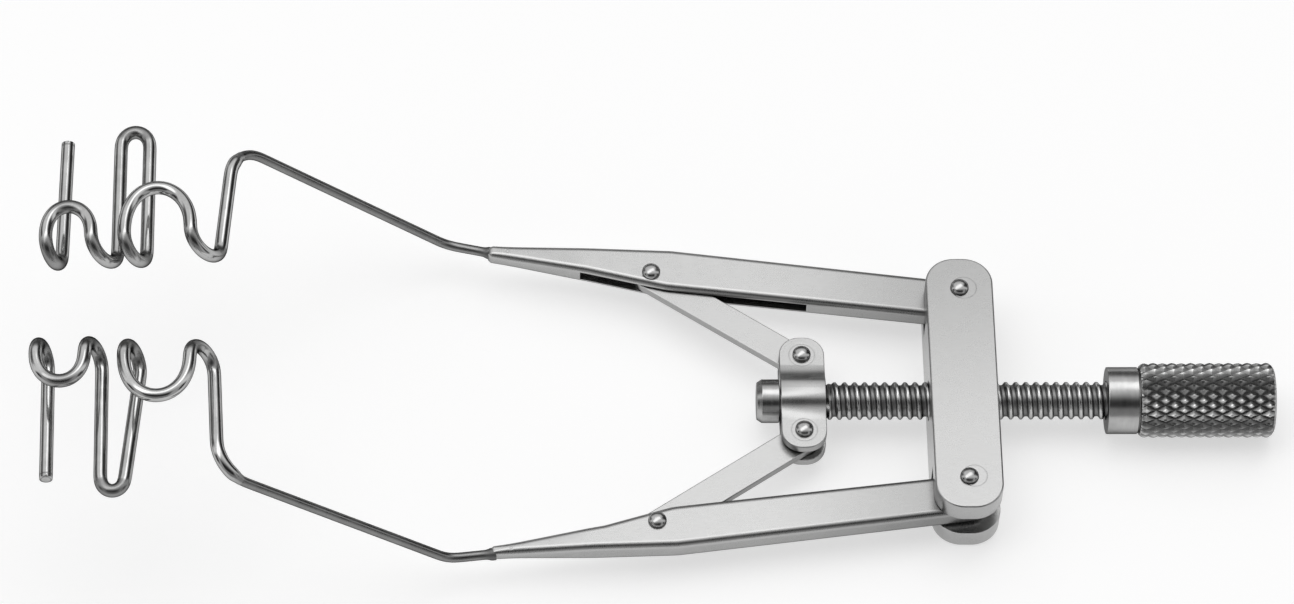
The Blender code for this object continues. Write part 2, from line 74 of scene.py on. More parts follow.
# Arms
ARM_THICKNESS = 1.54 * MM
ARM_ANGLE = math.radians(6.54)
ARM_LENGTH = 30.25 * MM
ARM_KNEE = 18.6 * MM
ARM_ROOT_WIDTH = 2.84 * MM
ARM_KNEE_WIDTH = 3.0 * MM
ARM_KNEE_OFFSET = 0.44 * MM
ARM_WIRE_OFFSET = 0.76 * MM
ARM_THINNING_START = 24.0 * MM
ARM_EDGE = 0.43 * MM
ARM_EASE_RUN = 1.4 * MM
ARM_KNEE_RADIUS = 4 * MM
ARM_OUTLINE_STEP = 0.8 * MM
LINK_RIVET_ALONG = 19.68 * MM
LINK_SLOT_START = 9.6 * MM
LINK_SLOT_END = 24.2 * MM
ARM_WEB = 0.42 * MM
UPPER_ARM = {"inner_bend": [23.8, -0.36], "tip": [0.27, 1.1], "tip_thickness": 1.08}
LOWER_ARM = {"inner_bend": [23.0, -0.22], "tip": [0.36, 0.99], "tip_thickness": 0.85}

# Yoke and links
YOKE_REACH = 10.15 * MM
YOKE_PIVOT_SPACING = 5.58 * MM
STRAP_WIDTH = 2.86 * MM
STRAP_END = 1.31 * MM
STRAP_SHEET = 0.62 * MM
STRAP_GAP = 0.94 * MM
# Outside of the strap's bulge: distance from the middle and height over the screw's axis, in mm
STRAP_BULGE = [(2.05, 1.09), (1.95, 1.092), (1.6, 1.13), (1.3, 1.21), (1.05, 1.32), (0.9, 1.43), (0.75, 1.53),
               (0.55, 1.6), (0.3, 1.635), (0.0, 1.645)]
PLATE_EDGE = 0.07 * MM
LINK_THICKNESS = 0.58 * MM
LINK_WIDTH = 2.0 * MM
# Room round the arm's rivet in the link's hole, where the closed linkage is opened
LINK_PLAY = 0.2 * MM

# Screw and knob
SCREW_DIAMETER = 2.39 * MM
SCREW_PITCH = 0.64 * MM
THREAD_DEPTH = 0.2 * MM
# The thread's root and flank, as shares of half a pitch
THREAD_ROOT = 0.2
THREAD_FLANK = 0.68
SCREW_IN_KNOB = 3.8 * MM
NECK_DIAMETER = 1.5 * MM
TIP_COLLAR_DIAMETER = 2.77 * MM
TIP_COLLAR_LENGTH = 1.42 * MM
KNOB_REACH = 9.15 * MM
KNOB_SOCKET_DEPTH = 3.9 * MM
SHOULDER_DIAMETER = 4.26 * MM
SHOULDER_LENGTH = 2.05 * MM
GRIP_DIAMETER = 4.77 * MM
GRIP_LENGTH = 8.6 * MM
KNURL_STARTS = 22
KNURL_PITCH = 1.2 * MM
KNURL_DEPTH = 0.24 * MM
KNURL_CHAMFER = 0.24 * MM
TURNED_EDGE = 0.05 * MM

# Rivets
BAR_RIVET_DIAMETER = 1.0 * MM
LINK_RIVET_DIAMETER = 0.74 * MM
YOKE_RIVET_DIAMETER = 0.8 * MM
RIVET_HEAD_DIAMETER = 1.15 * MM
RIVET_HEAD_HEIGHT = 0.4 * MM
# Share of the head's height that is its upright rim
RIVET_RIM = 0.16
RIVET_SEAT_GAP = 0.02 * MM

# Wires
SHANK_DIAMETER = 0.62 * MM
WIRE_DIAMETER = 0.84 * MM
SHANK_BEND_RADIUS = 1.8 * MM
SKIN_HEIGHT = 10.65 * MM
HOOK_RADIUS = 1.15 * MM
HOOK_DEPTH = 1.15 * MM
WIRE_STEP = 0.11 * MM
CORNER_RISE = 0.3 * MM
WIRE_END_EASE = 0.14 * MM
# The shank's run inside the arm, and the reach of the braze's fillet and of its stain
SHANK_INSERT = 0.3 * MM
BRAZE_FILLET = 0.42 * MM
BRAZE_STAIN = 0.9 * MM
UPPER_BLADE = {
    "legs": [46.75, 48.6, 52.7, 51.35, 53.15, 54.75, 57.55, 56.6],
    "hooks": [3.5, 3.1, 3.05, 2.9],
    "arches": [7.65, 6.25],
    "loop": [51.3, 53.1, 13.4],
    "end": [56.42, 12.5],
    "bend": [2.7, 1.08],
    "corner": [46.0, 12.2],
    "corner_radius": 2.2,
    "shank_share": 4,
}
LOWER_BLADE = {
    "legs": [47.05, 48.5, 52.55, 51.6, 53.95, 54.95, 57.95, 57.25],
    "hooks": [3.5, 3.45, 3.27, 3.35],
    "arches": [7.65, 6.6],
    "loop": [52.4, 53.9, 13.1],
    "end": [57.2, 12.25],
    "bend": [2.7, 0.76],
    "corner": [46.75, 11.9],
    "corner_radius": 2.2,
    "shank_share": 1,
}

# Fineness of the meshes
HOLE_SIDES = 72
RIVET_SIDES = 48
SCREW_SIDES = 80
SHANK_SIDES = 22
WIRE_SIDES = 28
EASE_STEPS = 7
HOOK_STEPS = 40
ARCH_STEPS = 48
LOOP_STEPS = 30
ROWS_PER_THREAD = 18
CELLS_PER_KNURL = 8
# Distance of a support row from the end of a long stretch, and the least length of such a stretch
SUPPORT = 0.025 * MM
LONG_STRETCH = 0.2 * MM

# Groove mark of the plain turned faces, which sets how much of the painted crest highlight and groove shade
# they get
PLAIN_TURNED = 0.25
SIDE_CLEARANCE = 0.1 * MM
HOLE_CLEARANCE = 0.06 * MM
BORE_CLEARANCE = 0.1 * MM
AXIS_HEIGHT = BAR_THICKNESS / 2
PIVOT_Y = PIVOT_SPACING / 2
YOKE_PIVOT_Y = YOKE_PIVOT_SPACING / 2
# Heights between which a cutter goes through a plate, and through the yoke's bulge
THROUGH = (-1 * MM, 6 * MM)
THROUGH_STRAP = (-2 * MM, 7 * MM)

# Camera of the photograph: height angle, side angle and roll in degrees, then millimetres
VIEW_ELEVATION = 57.0
VIEW_AZIMUTH = -3.8408
VIEW_ROLL = 3.1497
VIEW_DISTANCE = 448.81
VIEW_TARGET = (-19.8314, 7.501, 2.32)
VIEW_LENS = 195.41

# Floor and lamp, in metres
FLOOR_RADIUS = 6.0
FLOOR_GAP = 0.02 * MM
FLOOR_PLAIN = 0.86
FLOOR_LIT = 0.58
FLOOR_GLOW = 0.55
LAMP_SIZE = (1.2, 0.36)
LAMP_ENERGY = 1.8
LAMP_PLACE = (-0.15, 0.16, 0.9)
LAMP_AIM = (-0.02, 0, 0)

# The studio's brightness from the far floor line, over the top, to the near one: (degrees, level)
SKY_ARCH = [(-90, 0.12), (-70, 0.12), (-48, 1.0), (-4, 1.0), (36, 0.03), (52, 0.03), (64, 0.34), (96, 0.34)]
SKY_SIDES = 0.55
SKY_NEAR_ENDS = 0.06
SKY_LEFT = 0.12
SKY_RIGHT = 0.04
# Spans of the unit direction in which those parts begin: across in X, or near and far in Y
SIDES_SPAN = (0.48, 0.64)
NEAR_ENDS_SPAN = (0.8, 0.88)
NEAR_START = (-0.05, -0.15)
NEAR_STOP = (-0.4, -0.5)
FAR_START = (0.1, 0.4)
LEFT_SPAN = (-0.5, -0.85)
RIGHT_SPAN = (0.3, 0.7)


def smooth(share):
    return share * share * (3 - 2 * share)


def put_in_scene(name, data):
    thing = bpy.data.objects.new(name, data)
    bpy.context.scene.collection.objects.link(thing)
    return thing


# Materials

class Tree:
    """Node tree of a material or of the world."""

    def __init__(self, owner):
        owner.use_nodes = True
        self.nodes = owner.node_tree.nodes
        self.links = owner.node_tree.links

    def feed(self, socket, source):
        """Links an output to a socket, or sets the socket to a plain value."""
        if hasattr(source, "is_linked"):
            self.links.new(source, socket)
        else:
            socket.default_value = source

    def maths(self, operation, a, b=0.0):
        node = self.nodes.new("ShaderNodeMath")
        node.operation = operation
        self.feed(node.inputs[0], a)
        self.feed(node.inputs[1], b)
        return node.outputs["Value"]

    def blend(self, source, start, end, below, above):
        """Goes smoothly from below to above while the source goes from start to end."""
        node = self.nodes.new("ShaderNodeMapRange")
        node.interpolation_type = "SMOOTHSTEP"
        for name, value in (("Value", source), ("From Min", start), ("From Max", end),
                            ("To Min", below), ("To Max", above)):
            self.feed(node.inputs[name], value)
        return node.outputs["Result"]


class Recipe(Tree):
    """A metal, put together from coordinates of the piece itself."""

    def __init__(self, name, edge_tint):
        self.material = bpy.data.materials.new(name)
        super().__init__(self.material)
        self.shader = self.nodes["Principled BSDF"]
        self.shader.inputs["Metallic"].default_value = 1.0
        self.shader.inputs["Specular Tint"].default_value = (edge_tint, edge_tint, edge_tint, 1.0)
        self.coordinates = self.nodes.new("ShaderNodeTexCoord").outputs["Object"]

    def noise(self, size, detail, stretch=(1, 1, 1)):
        mapping = self.nodes.new("ShaderNodeMapping")
        mapping.inputs["Scale"].default_value = [1 / (size * s) for s in stretch]
        self.links.new(self.coordinates, mapping.inputs["Vector"])
        noise = self.nodes.new("ShaderNodeTexNoise")
        noise.inputs["Scale"].default_value = 1.0
        noise.inputs["Detail"].default_value = detail
        self.links.new(mapping.outputs["Vector"], noise.inputs["Vector"])
        return noise.outputs["Fac"]

    def spread(self, source, low, high, start=0.3, end=0.7):
        return self.blend(source, start, end, low, high)

    def shaded(self, shade, source, low, high, start=0.3, end=0.7):
        """The shade times a factor between low and high."""
        return self.maths("MULTIPLY", shade, self.spread(source, low, high, start, end))

    def attribute(self, name):
        node = self.nodes.new("ShaderNodeAttribute")
        node.attribute_name = name
        return node.outputs["Fac"]

    def along(self, direction):
        node = self.nodes.new("ShaderNodeVectorMath")
        node.operation = "DOT_PRODUCT"
        self.links.new(self.coordinates, node.inputs[0])
        node.inputs[1].default_value = direction
        return node.outputs["Value"]

    def ring(self, centre, radius, width):
        """1 on a thin circle about a line parallel to Z, and 0 elsewhere."""
        split = self.nodes.new("ShaderNodeSeparateXYZ")
        self.links.new(self.coordinates, split.inputs["Vector"])
        x = self.maths("SUBTRACT", split.outputs["X"], centre[0])
        y = self.maths("SUBTRACT", split.outputs["Y"], centre[1])
        squares = self.maths("ADD", self.maths("MULTIPLY", x, x), self.maths("MULTIPLY", y, y))
        reach = self.maths("SQRT", squares)
        gap = self.maths("ABSOLUTE", self.maths("SUBTRACT", reach, radius))
        return self.spread(gap, 1.0, 0.0, 0.0, width)

    def grey(self, source, tint):
        node = self.nodes.new("ShaderNodeCombineColor")
        for channel, factor in zip(("Red", "Green", "Blue"), tint):
            self.links.new(self.maths("MULTIPLY", source, factor), node.inputs[channel])
        return node.outputs["Color"]

    def bump(self, height, depth, below=None):
        node = self.nodes.new("ShaderNodeBump")
        node.inputs["Distance"].default_value = depth
        self.links.new(height, node.inputs["Height"])
        if below is not None:
            self.links.new(below, node.inputs["Normal"])
        return node.outputs["Normal"]

    def close(self, colour, roughness, normal):
        self.links.new(self.grey(colour, (1.0, 1.0, 0.995)), self.shader.inputs["Base Color"])
        self.links.new(roughness, self.shader.inputs["Roughness"])
        self.links.new(normal, self.shader.inputs["Normal"])
        return self.material


def plate_steel(name, level, edge_tint, painted_shade, rings=()):
    """Satin plate: bead-blasted grain, faint rubbing marks along the part, cloudy polish.

    The fourth argument is (direction, dull place, bright place, darkest factor): painted shade, the colour
    going smoothly darker towards the dull place along the direction.
    """
    recipe = Recipe(name, edge_tint)
    cloud = recipe.noise(1.6 * MM, 4)
    grain = recipe.noise(0.045 * MM, 2)
    rubbing = recipe.noise(0.05 * MM, 3, (14, 1, 1))
    shade = recipe.spread(cloud, level * 0.97, level * 1.02)
    shade = recipe.shaded(shade, grain, 0.97, 1.025)
    shade = recipe.shaded(shade, rubbing, 0.975, 1.02)
    # painted shade: the colour darkens towards the dull place along the part, down to the darkest factor
    direction, dull, bright, shade_depth = painted_shade
    shade = recipe.shaded(shade, recipe.along(direction), shade_depth, 1.0, dull, bright)
    rough = recipe.maths("ADD", recipe.spread(cloud, 0.28, 0.31), recipe.spread(grain, -0.03, 0.03))
    normal = recipe.bump(grain, 0.0016 * MM)
    normal = recipe.bump(rubbing, 0.0007 * MM, normal)
    for centre, radius, width in rings:
        mark = recipe.ring(centre, radius, width)
        normal = recipe.bump(mark, -0.006 * MM, normal)
        shade = recipe.shaded(shade, mark, 1.0, 0.86, 0.0, 1.0)
    return recipe.close(shade, rough, normal)


def turned_steel(name, level):
    """Turned steel: fine circumferential tool lines, with painted shade in the grooves of the thread and the
    knurl and a painted highlight on their crests.
    """
    recipe = Recipe(name, 0.2)
    lines = recipe.noise(0.03 * MM, 2, (1, 60, 60))
    cloud = recipe.noise(0.9 * MM, 4)
    grain = recipe.noise(0.05 * MM, 2)
    groove = recipe.attribute("groove")
    shade = recipe.spread(cloud, level * 0.93, level * 1.08)
    shade = recipe.shaded(shade, lines, 0.93, 1.06)
    # painted highlight on the crests and painted shade in the grooves, following the groove depth
    shade = recipe.shaded(shade, groove, 1.5, 0.62, 0.0, 0.6)
    rough = recipe.maths("ADD", recipe.spread(lines, 0.2, 0.27), recipe.spread(groove, 0.0, 0.18, 0.3, 1.0))
    normal = recipe.bump(lines, 0.0012 * MM)
    normal = recipe.bump(grain, 0.0006 * MM, normal)
    return recipe.close(shade, rough, normal)


def wire_steel(name, level, rough_low, rough_high, edge_tint):
    """Drawn and polished wire with a few dull patches, and darker and rougher where its path turns tightly.
    """
    recipe = Recipe(name, edge_tint)
    cloud = recipe.noise(1.1 * MM, 4)
    grain = recipe.noise(0.06 * MM, 2)
    patches = recipe.noise(2.6 * MM, 5)
    shade = recipe.spread(cloud, level * 0.9, level * 1.06)
    shade = recipe.shaded(shade, patches, 0.93, 1.05)
    shade = recipe.shaded(shade, grain, 0.97, 1.02)
    heat = recipe.attribute("braze")
    shade = recipe.shaded(shade, heat, 1.0, 0.72, 0.0, 1.0)
    bend = recipe.attribute("bend")
    shade = recipe.shaded(shade, bend, 1.0, 0.52, 0.0, 1.0)
    rough = recipe.spread(cloud, rough_low, rough_high)
    rough = recipe.maths("ADD", rough, recipe.spread(heat, 0.0, 0.2, 0.0, 1.0))
    rough = recipe.maths("ADD", rough, recipe.spread(bend, 0.0, 0.14, 0.0, 1.0))
    normal = recipe.bump(grain, 0.0006 * MM)
    normal = recipe.bump(cloud, 0.006 * MM, normal)
    return recipe.close(shade, rough, normal)


def rivet_steel(name):
    """Peened rivet: bright dome with small hammer facets."""
    recipe = Recipe(name, 0.15)
    facets = recipe.noise(0.22 * MM, 1)
    grain = recipe.noise(0.04 * MM, 2)
    shade = recipe.shaded(recipe.spread(facets, 0.4, 0.46), grain, 0.96, 1.02)
    rough = recipe.spread(facets, 0.16, 0.24)
    normal = recipe.bump(facets, 0.004 * MM)
    normal = recipe.bump(grain, 0.0006 * MM, normal)
    return recipe.close(shade, rough, normal)


# Mesh tools

def add_mesh(name, mesh, material):
    piece = put_in_scene(name, mesh)
    mesh.materials.clear()
    mesh.materials.append(material)
    return piece


def add_solid(name, solid, material, sharp):
    mesh = bpy.data.meshes.new(name)
    bmesh.ops.recalc_face_normals(solid, faces=solid.faces)
    solid.to_mesh(mesh)
    solid.free()
    mesh.shade_smooth()
    mesh.set_sharp_from_angle(angle=math.radians(sharp))
    return add_mesh(name, mesh, material)


def dress(piece, node, body):
    """Puts a finished piece in the place of its solid."""
    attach(piece, body)
    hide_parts(node)


def round_corners(corners, radii, closed, steps):
    """Points of a polygon or path whose corners are arcs of the given radii."""
    points = []
    count = len(corners)
    for i, corner in enumerate(corners):
        radius = radii[i]
        at_end = not closed and i in (0, count - 1)
        if radius <= 0 or at_end:
            points.append(corner.copy())
            continue
        back = (corners[i - 1] - corner).normalized()
        ahead = (corners[(i + 1) % count] - corner).normalized()
        half = back.angle(ahead) / 2
        setback = radius / math.tan(half)
        start = corner + back * setback
        centre = corner + (back + ahead).normalized() * (radius / math.sin(half))
        axis = back.cross(ahead).normalized()
        turn = math.pi - 2 * half
        spoke = start - centre
        for k in range(steps + 1):
            points.append(centre + Matrix.Rotation(-turn * k / steps, 3, axis) @ spoke)
    return points


def prism(points, low, high, frame_matrix=None):
    """Bmesh of a flat outline between two heights."""
    solid = bmesh.new()
    bottom = [solid.verts.new((p.x, p.y, low)) for p in points]
    top = [solid.verts.new((p.x, p.y, high)) for p in points]
    count = len(points)
    solid.faces.new(bottom[::-1])
    solid.faces.new(top)
    for i in range(count):
        k = (i + 1) % count
        solid.faces.new((bottom[i], bottom[k], top[k], top[i]))
    bmesh.ops.recalc_face_normals(solid, faces=solid.faces)
    if frame_matrix is not None:
        bmesh.ops.transform(solid, matrix=frame_matrix, verts=solid.verts)
    return solid


def plain_object(name, solid):
    mesh = bpy.data.meshes.new(name)
    solid.to_mesh(mesh)
    solid.free()
    return put_in_scene(name, mesh)


def pin(name, radius, low, high, centre, along_x=False):
    """Round cutter parallel to Z or to X."""
    turns = [2 * math.pi * k / HOLE_SIDES for k in range(HOLE_SIDES)]
    ring = [Vector((radius * math.cos(turn), radius * math.sin(turn), 0)) for turn in turns]
    turn = Matrix.Rotation(math.pi / 2, 4, "Y") if along_x else Matrix.Identity(4)
    return plain_object(name, prism(ring, low, high, Matrix.Translation(Vector(centre)) @ turn))


def rivet_hole(diameter, centre, heights=THROUGH, room=HOLE_CLEARANCE):
    return pin("hole", diameter / 2 + room, *heights, centre)


def slab(outline, half):
    """Prism that reaches as far below the screw's axis as above it."""
    return prism(outline, AXIS_HEIGHT - half, AXIS_HEIGHT + half)


def rectangle(half_x, half_y, middle_x=0.0):
    return [Vector((middle_x + x, y, 0)) for x, y in ((half_x, -half_y), (half_x, half_y),
                                                      (-half_x, half_y), (-half_x, -half_y))]


def shape(name, solid, material, outer_edge, cutters, keep=(), fine_edge=CUT_EDGE, segments=4):
    """Plate with eased outer edges, then cuts whose edges are barely broken.

    keep holds tools that the plate is cut to from outside, and cutters those that are cut away.
    """
    piece = plain_object(name, solid)
    for tool in keep:
        add_boolean(piece, tool, "INTERSECT")
    if outer_edge > 0:
        add_bevel(piece, outer_edge, segments, 50)
    for tool in cutters:
        add_boolean(piece, tool, "DIFFERENCE")
    if fine_edge > 0:
        add_bevel(piece, fine_edge, 2, 62)
    weighted = piece.modifiers.new("normals", "WEIGHTED_NORMAL")
    weighted.keep_sharp = True
    weighted.weight = 60
    bpy.context.view_layer.update()
    evaluated = piece.evaluated_get(bpy.context.evaluated_depsgraph_get())
    mesh = bpy.data.meshes.new_from_object(evaluated)
    mesh.name = name
    bpy.data.objects.remove(piece, do_unlink=True)
    for tool in list(keep) + list(cutters):
        bpy.data.objects.remove(tool, do_unlink=True)
    return add_mesh(name, mesh, material)


def add_boolean(piece, tool, operation):
    cut = piece.modifiers.new(tool.name, "BOOLEAN")
    cut.operation = operation
    cut.object = tool
    cut.solver = "EXACT"


def add_bevel(piece, width, segments, angle):
    piece.data.shade_smooth()
    ease = piece.modifiers.new("ease", "BEVEL")
    ease.width = width
    ease.segments = segments
    ease.limit_method = "ANGLE"
    ease.angle_limit = math.radians(angle)
    ease.use_clamp_overlap = True


def supported(rows):
    """Adds a row near each end of a long stretch, so that its shading stays straight."""
    result = [rows[0]]
    for low, high in zip(rows, rows[1:]):
        run = math.hypot(high[0] - low[0], high[1] - low[1])
        if run > LONG_STRETCH:
            near = SUPPORT / run
            for share in (near, 1 - near):
                result.append(tuple(a + (b - a) * share for a, b in zip(low, high)))
        result.append(high)
    return result


def lathe(name, rows, columns, material, placing, sharp, radius_at=None, poke=False):
    """Solid of revolution about local Z through rows of (height, radius, groove amount).

    radius_at cuts a thread or knurl into it, and poke adds the knurl's points between the rows.
    """
    solid = bmesh.new()
    groove = solid.verts.layers.float.new("groove")
    rings = []
    for height, radius, mark in supported(rows):
        if radius <= 0:
            vertex = solid.verts.new((0, 0, height))
            rings.append([vertex])
            continue
        ring = []
        for k in range(columns):
            turn = 2 * math.pi * k / columns
            reach, depth = (radius, 0.0) if radius_at is None else radius_at(turn, height, radius, mark)
            vertex = solid.verts.new((reach * math.cos(turn), reach * math.sin(turn), height))
            vertex[groove] = depth if mark > 0 else PLAIN_TURNED
            ring.append(vertex)
        rings.append(ring)
    grid = []
    for low, high in zip(rings, rings[1:]):
        for k in range(columns):
            n = (k + 1) % columns
            if len(low) == 1:
                solid.faces.new((low[0], high[n], high[k]))
            elif len(high) == 1:
                solid.faces.new((low[k], low[n], high[0]))
            else:
                grid.append(solid.faces.new((low[k], low[n], high[n], high[k])))
    if poke:
        centres = bmesh.ops.poke(solid, faces=grid)["verts"]
        for vertex in centres:
            turn = math.atan2(vertex.co.y, vertex.co.x) % (2 * math.pi)
            neighbours = [edge.other_vert(vertex) for edge in vertex.link_edges]
            heights = [v.co.z for v in neighbours]
            if max(heights) - min(heights) < 1e-7:
                continue
            base = poke_radius(vertex.co.z)
            if base is None:
                vertex[groove] = sum(v[groove] for v in neighbours) / len(neighbours)
                continue
            reach, depth = radius_at(turn, vertex.co.z, base[0], base[1])
            vertex.co.x = reach * math.cos(turn)
            vertex.co.y = reach * math.sin(turn)
            vertex[groove] = depth
    bmesh.ops.transform(solid, matrix=placing, verts=solid.verts)
    return add_solid(name, solid, material, sharp)


def along_screw():
    return Matrix.Translation((0, 0, AXIS_HEIGHT)) @ Matrix.Rotation(math.pi / 2, 4, "Y")


def even_path(points, step):
    """The same path with points at even distances."""
    result = [points[0].copy()]
    left = step
    for start, end in zip(points, points[1:]):
        run = (end - start).length
        place = left
        while place < run:
            result.append(start.lerp(end, place / run))
            place += step
        left = place - run
    result.append(points[-1].copy())
    return result


def relax(points, rounds, fixed=2):
    """Takes the small corners out of a path, as bending over round pins does."""
    for _ in range(rounds):
        smoothed = [p.copy() for p in points]
        for i in range(fixed, len(points) - fixed):
            smoothed[i] = (points[i - 1] + points[i] * 2 + points[i + 1]) / 4
        points = smoothed
    return points


def tube(name, points, radii, material, marks, sides):
    """Round wire along a path, with its own radius and braze mark at each point.

    The bend mark is 1 where the path turns in a radius of less than about 1.2 mm.
    """
    solid = bmesh.new()
    braze = solid.verts.layers.float.new("braze")
    bend = solid.verts.layers.float.new("bend")
    last = len(points) - 1
    tangents = [(points[min(i + 1, last)] - points[max(i - 1, 0)]).normalized() for i in range(last + 1)]
    turning = []
    for i in range(last + 1):
        low, high = max(0, i - 3), min(last, i + 3)
        run = sum((points[k + 1] - points[k]).length for k in range(low, high))
        turning.append(tangents[low].angle(tangents[high]) / run * MM)
    normal = tangents[0].orthogonal().normalized()
    rings = []
    for i, (point, tangent) in enumerate(zip(points, tangents)):
        if i:
            normal = tangents[i - 1].rotation_difference(tangent) @ normal
        normal = (normal - tangent * normal.dot(tangent)).normalized()
        side = tangent.cross(normal)
        ring = []
        for k in range(sides):
            turn = 2 * math.pi * k / sides
            vertex = solid.verts.new(point + (normal * math.cos(turn) + side * math.sin(turn)) * radii[i])
            vertex[braze] = marks[i]
            vertex[bend] = min(1.0, max(0.0, (turning[i] - 0.55) / 0.3))
            ring.append(vertex)
        rings.append(ring)
    for low, high in zip(rings, rings[1:]):
        for k in range(sides):
            n = (k + 1) % sides
            solid.faces.new((low[k], low[n], high[n], high[k]))
    solid.faces.new(rings[0][::-1])
    solid.faces.new(rings[-1])
    return add_solid(name, solid, material, 40)


# Plates

def arm_point(along, across, side):
    """Plan position from the arm's pivot: along the arm, and across it away from the screw."""
    x = -along * math.cos(ARM_ANGLE) + across * math.sin(ARM_ANGLE)
    y = along * math.sin(ARM_ANGLE) + across * math.cos(ARM_ANGLE)
    return Vector((x, side * (PIVOT_Y + y), 0))


def make_bar(material):
    half_length = BAR_LENGTH / 2
    outline = round_corners(rectangle(BAR_WIDTH / 2, half_length), [BAR_END_RADIUS] * 4, True, 22)
    slot_floor = PIVOT_Y - ARM_ROOT_WIDTH / 2 - 3 * SIDE_CLEARANCE
    cutters = []
    for side in (1, -1):
        far = side * (half_length + MM)
        near = side * slot_floor
        beyond = 3 * MM
        block = [Vector((x, y, 0)) for x, y in ((-beyond, near), (beyond, near),
                                                (beyond, far), (-beyond, far))]
        if side < 0:
            block.reverse()
        cutters.append(plain_object("fork", slab(block, ARM_THICKNESS / 2 + SIDE_CLEARANCE)))
        cutters.append(rivet_hole(BAR_RIVET_DIAMETER, (0, side * PIVOT_Y, 0), (-MM, BAR_THICKNESS + MM)))
    bore = SCREW_DIAMETER / 2 + BORE_CLEARANCE
    cutters.append(pin("bore", bore, -4 * MM, 4 * MM, (0, 0, AXIS_HEIGHT), True))
    piece = shape("cross_bar_body", prism(outline, 0, BAR_THICKNESS), material, BAR_EDGE, cutters)
    dress(piece, "cross_bar", "bar")


def eased_plate(points, half_at, ease_at, middle):
    """Bmesh of a counter-clockwise outline with round upper and lower edges.

    half_at and ease_at give half the thickness and the edge radius at a point. The plate is
    left open above and below, and its first and last layers come back with it.
    """
    count = len(points)
    inward = []
    for i, point in enumerate(points):
        back = (point - points[i - 1]).normalized()
        ahead = (points[(i + 1) % count] - point).normalized()
        way = (back + ahead).normalized()
        inward.append(Vector((-way.y, way.x, 0)) / max(0.5, way.dot(ahead)))
    solid = bmesh.new()
    layers = []
    turns = [math.pi / 2 * k / EASE_STEPS for k in range(EASE_STEPS + 1)]
    for sign, angles in ((-1, turns), (1, turns[::-1])):
        for turn in angles:
            layer = []
            for point, way in zip(points, inward):
                ease = ease_at(point)
                place = point + way * ease * (1 - math.sin(turn))
                height = half_at(point) - ease * (1 - math.cos(turn))
                layer.append(solid.verts.new((place.x, place.y, middle + sign * height)))
            layers.append(layer)
    for low, high in zip(layers, layers[1:]):
        for i in range(count):
            k = (i + 1) % count
            solid.faces.new((low[i], low[k], high[k], high[i]))
    return solid, layers[0], layers[-1]


def cap_between(solid, layer, first, second, upward):
    """Closes a layer with two faces that meet on the line between two of its points."""
    low, high = sorted((first, second))
    for part in (layer[low:high + 1], layer[high:] + layer[:low + 1]):
        solid.faces.new(part if upward else part[::-1])


def arm_outline(corners, radii, steps, side):
    return round_corners([arm_point(along, across, side) for along, across in corners], radii, True, steps)


def make_arm(side, label, form, material):
    root = ARM_ROOT_WIDTH / 2
    root_offset = ARM_KNEE_OFFSET * 0.4
    knee = ARM_KNEE_WIDTH / 2
    bend_along, bend_across = (value * MM for value in form["inner_bend"])
    tip_inner, tip_outer = (value * MM for value in form["tip"])
    corners = [
        (-root, root_offset - root),
        (ARM_KNEE, ARM_KNEE_OFFSET - knee),
        (bend_along, bend_across),
        (ARM_LENGTH, tip_inner),
        (ARM_LENGTH, tip_outer),
        (ARM_KNEE, ARM_KNEE_OFFSET + knee),
        (-root, root_offset + root),
    ]
    tip_radius = (tip_outer - tip_inner) * 0.46
    tip_ease = tip_radius * 0.8
    root_radius = root * 0.96
    radii = [root_radius] + [ARM_KNEE_RADIUS] * 2 + [tip_radius] * 2 + [ARM_KNEE_RADIUS, root_radius]
    points = arm_outline(corners, radii, 12, side)
    if (points[1] - points[0]).cross(points[2] - points[1]).z < 0:
        points.reverse()
    dense = []
    for i, point in enumerate(points):
        following = points[(i + 1) % len(points)]
        parts = max(1, round((following - point).length / ARM_OUTLINE_STEP))
        dense += [point.lerp(following, k / parts) for k in range(parts)]
    pivot, ahead = arm_point(0, 0, side), arm_point(MM, 0, side)
    direction = (ahead - pivot).normalized()

    def along_arm(point):
        return (point - pivot).dot(direction)

    def half_at(point):
        share = max(0.0, along_arm(point) - ARM_THINNING_START) / (ARM_LENGTH - ARM_THINNING_START)
        return (ARM_THICKNESS + (form["tip_thickness"] * MM - ARM_THICKNESS) * share) / 2

    def ease_at(point):
        share = min(1.0, max(0.0, ARM_LENGTH - along_arm(point)) / ARM_EASE_RUN)
        return tip_ease + (ARM_EDGE - tip_ease) * share

    thinned, bottom, top = eased_plate(dense, half_at, ease_at, AXIS_HEIGHT)
    # the flat faces are parted where the thinning starts, between the outline's two nearest points
    nearest = sorted(range(len(dense)), key=lambda i: abs(along_arm(dense[i]) - ARM_THINNING_START))
    first = nearest[0]
    second = next(i for i in nearest if (dense[i] - dense[first]).length > 1.2 * MM)
    cap_between(thinned, bottom, first, second, False)
    cap_between(thinned, top, first, second, True)
    bmesh.ops.recalc_face_normals(thinned, faces=thinned.faces)
    outer = ARM_KNEE_OFFSET + knee - ARM_WEB
    outside = -4 * MM
    slot_corners = [
        (LINK_SLOT_START, outside),
        (LINK_SLOT_START, outer - 0.2 * MM),
        (ARM_KNEE, outer),
        (LINK_SLOT_END, outer - (LINK_SLOT_END - ARM_KNEE) * 0.115),
        (LINK_SLOT_END, outside),
    ]
    slot = arm_outline(slot_corners, [0, 1.2 * MM, 2 * MM, 0.9 * MM, 0], 10, side)
    cutters = [plain_object("slot", slab(slot, LINK_THICKNESS / 2 + SIDE_CLEARANCE)),
               rivet_hole(BAR_RIVET_DIAMETER, (0, side * PIVOT_Y, 0)),
               rivet_hole(LINK_RIVET_DIAMETER, arm_point(LINK_RIVET_ALONG, 0, side))]
    piece = shape("arm_%s_body" % label, thinned, material, 0, cutters)
    dress(piece, "arm_" + label, "arm_" + label)


